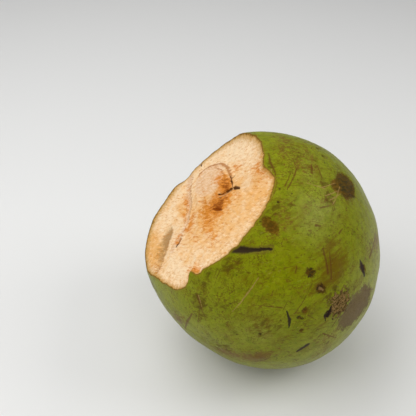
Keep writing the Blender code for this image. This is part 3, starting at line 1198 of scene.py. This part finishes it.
flat_shaky = vector("MULTIPLY_ADD", shake, (1.0, 1.0, 0), flat)
slit = times(strokes(flat_shaky, on_cut(SLIT_STROKES)), 0.93)
husk = blend(slit, husk, (0.065, 0.018, 0.003))
fibre = times(strokes(flat, on_cut(FIBRE_STROKES)), 0.85)
husk = blend(fibre, husk, (0.75, 0.45, 0.2))
bench.tell("rim and slits")

# %% [markdown]
# ## Skin and husk together
#
# The signed distance to the rim chooses between the two finishes, exactly at the sharp
# edge. Skin is waxy and gives a soft broad sheen, bruises and scabs are dry, and husk is
# matt. Fine bumps finish both: pores and scratches on the skin, strands on the husk.

# %% Colour and shine
RIM_SOFTNESS = 0.12  # millimetres
WAX_ROUGHNESS = (0.34, 0.46)
DRYNESS = 0.34
HUSK_ROUGHNESS = 0.9
SHEEN_LEVEL = 0.11
WAX_IOR = 1.45

is_skin = span(rim_gap, -RIM_SOFTNESS, RIM_SOFTNESS)
bench.feed(bench.shader.inputs["Base Color"], blend(is_skin, husk, skin))

dull = sums("MAXIMUM", times(bruise_mask, 0.5), scab_mask)
dull = sums("MAXIMUM", times(patch_mask, 0.6), dull)
dull = sums("MAXIMUM", times(grime, 0.6), dull)
wax = span(mottle, 0.3, 0.75, *WAX_ROUGHNESS)
skin_rough = sums("MULTIPLY_ADD", dull, DRYNESS, wax)
rough = lay("Mix", {0: is_skin, 2: HUSK_ROUGHNESS, 3: skin_rough}, data_type="FLOAT")
bench.feed(bench.shader.inputs["Roughness"], rough)
bench.shader.inputs["Specular IOR Level"].default_value = SHEEN_LEVEL
bench.shader.inputs["IOR"].default_value = WAX_IOR
print("roughness of wax", WAX_ROUGHNESS, "and of husk", HUSK_ROUGHNESS)

# %% Fine bumps
# Heights in millimetres
PORES = 0.05
SWELLS = 0.14
CORK_RIDGES = 0.7
BRUISE_CREASES = 0.25
FIBRES = 0.6
HAIRS = 0.3

pores = noise(place, 0.75, detail=2, rough=0.5)
skin_bump = times(pores, PORES)
skin_bump = sums("MULTIPLY_ADD", mottle, SWELLS, skin_bump)
skin_bump = sums("MULTIPLY_ADD", times(cork, scab_mask), CORK_RIDGES, skin_bump)
skin_bump = sums("MULTIPLY_ADD", times(fine_rag, bruise_mask), BRUISE_CREASES, skin_bump)
husk_bump = times(grain, FIBRES)
husk_bump = sums("MULTIPLY_ADD", hairs, HAIRS, husk_bump)
husk_bump = times(husk_bump, sums("MULTIPLY_ADD", scar_and_shade_in, -0.6, 1.0))
height = lay("Mix", {0: is_skin, 2: husk_bump, 3: skin_bump}, data_type="FLOAT")
bump = lay("Bump", {"Strength": 1.0, "Distance": MM, "Height": height})
bench.feed(bench.shader.inputs["Normal"], bump)
mesh.materials.append(bench.material)
bench.tell("the bumps")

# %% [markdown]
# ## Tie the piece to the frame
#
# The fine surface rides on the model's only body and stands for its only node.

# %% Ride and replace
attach(coconut, "root")
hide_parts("coconut")
print("tied:", coconut.name)

# %% [markdown]
# ## Floor, light and camera
#
# A wide pale floor takes the soft shadow. Five large lamps stand around the fruit like
# the soft boxes of a product studio. The left one lights the cut, the right one gives the
# skin its soft sheen, and the world adds a little grey light from everywhere.

# %% Floor
floor_mesh = bpy.data.meshes.new("floor")
FLOOR_HALF = 4.0
FLOOR_DROP = -0.0002  # just below the flat spot, so that the two don't share a plane
corners = [(x * FLOOR_HALF, y * FLOOR_HALF, FLOOR_DROP) for x, y in ((-1, -1), (1, -1), (1, 1), (-1, 1))]
floor_mesh.from_pydata(corners, [], [(0, 1, 2, 3)])
floor = bpy.data.objects.new("floor", floor_mesh)
bpy.context.scene.collection.objects.link(floor)
floor_bench = Bench("pale_floor")
floor_bench.feed(floor_bench.shader.inputs["Base Color"], (0.8, 0.8, 0.79))
floor_bench.shader.inputs["Roughness"].default_value = 0.6
floor_bench.shader.inputs["Specular IOR Level"].default_value = 0.3
floor_mesh.materials.append(floor_bench.material)
floor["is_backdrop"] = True
print("floor:", 2 * FLOOR_HALF, "m across")

# %% Lamps and world
def lamp(name, place, target, size, power, shine=False):
    """A square soft lamp at a place, turned towards a target. Only a lamp with shine shows
    up in the wax, as only one soft box of a studio is aimed to make a sheen."""
    data = bpy.data.lights.new(name, "AREA")
    data.size = size
    data.energy = power
    light = bpy.data.objects.new(name, data)
    light.location = place
    light.visible_glossy = shine
    light.rotation_euler = (Vector(target) - Vector(place)).to_track_quat("-Z", "Y").to_euler()
    bpy.context.scene.collection.objects.link(light)


fruit_centre = tuple(CENTRE_OVER_SPOT)
lamp("left_front", (-0.9, -0.5, 1.0), fruit_centre, 0.9, 6.8)
lamp("right", (1.0, -0.1, 0.9), fruit_centre, 0.7, 5.3, shine=True)
lamp("above_front", (0.0, -0.7, 1.3), fruit_centre, 1.0, 4.0)
lamp("behind", (-0.3, 1.0, 1.1), fruit_centre, 1.0, 3.6)
lamp("above", (-0.4, 0.1, 0.9), fruit_centre, 0.7, 2.4)
WORLD_STRENGTH = 0.24
world = bpy.data.worlds.new("studio")
bpy.context.scene.world = world
world.use_nodes = True
world.node_tree.nodes["Background"].inputs["Color"].default_value = (1, 1, 1, 1)
world.node_tree.nodes["Background"].inputs["Strength"].default_value = WORLD_STRENGTH
bpy.context.scene.view_settings.view_transform = "Standard"
print("lamps:", len(bpy.data.lights))

# %% [markdown]
# The camera looks down at the fruit from half a metre in front of it.

# %% Camera
CAMERA_FROM_CENTRE = (-0.0401, -0.4013, 0.3131)
VIEW_DROP = math.radians(34.47)
VIEW_WIDTH = math.radians(34)
eye = bpy.data.cameras.new("eye")
eye.sensor_width = 36
eye.lens = eye.sensor_width / 2 / math.tan(VIEW_WIDTH / 2)
camera = bpy.data.objects.new("camera", eye)
camera.location = CENTRE_OVER_SPOT + np.array(CAMERA_FROM_CENTRE)
camera.rotation_euler = (math.pi / 2 - VIEW_DROP, 0, 0)
bpy.context.scene.collection.objects.link(camera)
bpy.context.scene.camera = camera
print("camera to the fruit's middle:", round(math.hypot(*CAMERA_FROM_CENTRE), 2), "m")

# %% [markdown]
# ## Compare sizes
#
# The box of the fine surface has to agree with the imported model's box.

# %% Sizes
new_box = [list(corner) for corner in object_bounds()]
gaps = np.abs(np.array(new_box) - np.array(cad_box)) / MM
print("largest difference between the boxes:", round(float(gaps.max()), 2), "mm")
